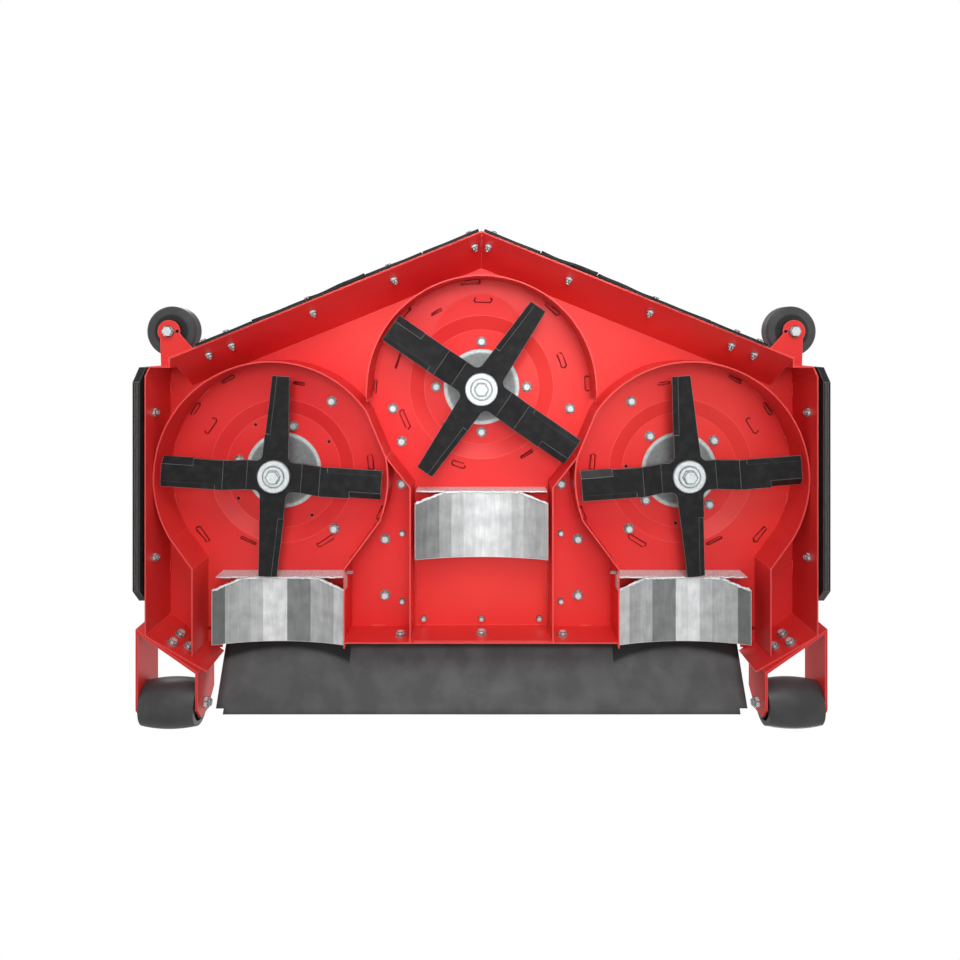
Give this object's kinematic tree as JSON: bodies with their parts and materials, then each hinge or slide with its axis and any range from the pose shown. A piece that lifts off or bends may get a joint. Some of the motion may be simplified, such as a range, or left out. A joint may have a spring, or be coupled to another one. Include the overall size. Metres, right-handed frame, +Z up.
{
  "type": "mower deck",
  "caption": "Wide rear-discharge mower deck with turning blades, baffled cutting chambers, belt drive, gearbox, rubber flaps, side skids and anti-scalp rollers.",
  "frame": {"origin": "middle of the deck's footprint, at ground level", "axes": "+Z up; the machine drives towards -Y, so +X is the machine's left"},
  "size_m": [1.659, 1.197, 0.366],
  "materials": {
    "red_paint": "semi-gloss red paint",
    "black_paint": "satin black paint",
    "zinc_steel": "zinc plated",
    "blade_steel": "satin black paint over steel",
    "housing_metal": "as cast",
    "bright_steel": "bright sheet",
    "turned_steel": "turned",
    "pressed_steel": "black pressed steel",
    "belt_rubber": "matt",
    "flap_rubber": "matt",
    "wheel_plastic": "matt",
    "black_plastic": "moulded grain",
    "cast_metal": "as cast, painted"
  },
  "bodies": {
    "deck": {"axle_bolts": "zinc_steel", "baffle_centre": "red_paint", "baffle_left": "red_paint", "baffle_right": "red_paint", "belt_cover_left": "black_plastic", "belt_cover_right": "black_plastic", "channel_wall_left": "red_paint", "channel_wall_right": "red_paint", "chute_catches": "zinc_steel", "corner_wheel_bracket_left": "red_paint", "corner_wheel_bracket_right": "red_paint", "discharge_hood_centre": "bright_steel", "discharge_hood_left": "bright_steel", "discharge_hood_right": "bright_steel", "drive_belt": "belt_rubber", "front_apron_left": "red_paint", "front_apron_right": "red_paint", "front_flap_bars": "red_paint", "front_flaps": "flap_rubber", "gearbox": "cast_metal", "gearbox_strap": "red_paint", "hitch_bracket_left": "red_paint", "hitch_bracket_right": "red_paint", "idler_posts": "zinc_steel", "m12_bolts": "zinc_steel", "m8_bolts": "zinc_steel", "rear_flap": "flap_rubber", "rear_flap_bar": "black_paint", "rear_liner": "red_paint", "rear_wall": "red_paint", "roller_bracket_left": "red_paint", "roller_bracket_right": "red_paint", "side_skirt_left": "red_paint", "side_skirt_right": "red_paint", "skid_bar_left": "black_paint", "skid_bar_right": "black_paint", "spindle_bearings": "turned_steel", "spindle_housing_centre": "housing_metal", "spindle_housing_left": "housing_metal", "spindle_housing_right": "housing_metal", "top_plate": "red_paint"},
    "spindle_left": {"spindle_shaft_left": "turned_steel", "spindle_pulley_left": "pressed_steel", "blade_left": "blade_steel", "blade_bolt_left": "zinc_steel"},
    "spindle_centre": {"spindle_shaft_centre": "turned_steel", "spindle_pulley_centre": "pressed_steel", "blade_centre": "blade_steel", "blade_bolt_centre": "zinc_steel"},
    "spindle_right": {"spindle_shaft_right": "turned_steel", "spindle_pulley_right": "pressed_steel", "blade_right": "blade_steel", "blade_bolt_right": "zinc_steel"},
    "idler_left": {"idler_pulley_left": "pressed_steel"},
    "rear_roller_left": {"roller_left": "wheel_plastic"},
    "front_wheel_left": {"corner_wheel_left": "wheel_plastic"},
    "idler_right": {"idler_pulley_right": "pressed_steel"},
    "rear_roller_right": {"roller_right": "wheel_plastic"},
    "front_wheel_right": {"corner_wheel_right": "wheel_plastic"},
    "input": {"input_shaft": "turned_steel"}
  },
  "joints": [
    {"name": "centre_spin", "type": "hinge", "parent": "deck", "child": "spindle_centre", "pos_m": [0, -0.2136, 0.2], "axis": [0, 0, 1], "continuous": true},
    {"name": "left_spin", "type": "hinge", "parent": "deck", "child": "spindle_left", "pos_m": [0.508, -0.0001, 0.2], "axis": [0, 0, 1], "continuous": true},
    {"name": "right_spin", "type": "hinge", "parent": "deck", "child": "spindle_right", "pos_m": [-0.508, -0.0001, 0.2], "axis": [0, 0, 1], "continuous": true},
    {"name": "idler_left_spin", "type": "hinge", "parent": "deck", "child": "idler_left", "pos_m": [0.225, -0.1596, 0.244], "axis": [0, 0, 1], "continuous": true},
    {"name": "idler_right_spin", "type": "hinge", "parent": "deck", "child": "idler_right", "pos_m": [-0.225, -0.1596, 0.244], "axis": [0, 0, 1], "continuous": true},
    {"name": "input_spin", "type": "hinge", "parent": "deck", "child": "input", "pos_m": [0, -0.1176, 0.326], "axis": [0, 1, 0], "continuous": true},
    {"name": "roller_left_spin", "type": "hinge", "parent": "deck", "child": "rear_roller_left", "pos_m": [0.744, 0.541, 0.0575], "axis": [1, 0, 0], "continuous": true},
    {"name": "roller_right_spin", "type": "hinge", "parent": "deck", "child": "rear_roller_right", "pos_m": [-0.744, 0.541, 0.0575], "axis": [1, 0, 0], "continuous": true},
    {"name": "wheel_left_spin", "type": "hinge", "parent": "deck", "child": "front_wheel_left", "pos_m": [0.757, -0.3556, 0.095], "axis": [0, 0, 1], "continuous": true},
    {"name": "wheel_right_spin", "type": "hinge", "parent": "deck", "child": "front_wheel_right", "pos_m": [-0.757, -0.3556, 0.095], "axis": [0, 0, 1], "continuous": true}
  ],
  "couplings": [
    {"joint": "left_spin", "follows": "centre_spin", "ratio": 1},
    {"joint": "right_spin", "follows": "centre_spin", "ratio": 1},
    {"joint": "idler_left_spin", "follows": "centre_spin", "ratio": -1.4995},
    {"joint": "idler_right_spin", "follows": "centre_spin", "ratio": -1.4995},
    {"joint": "input_spin", "follows": "centre_spin", "ratio": -0.5}
  ]
}
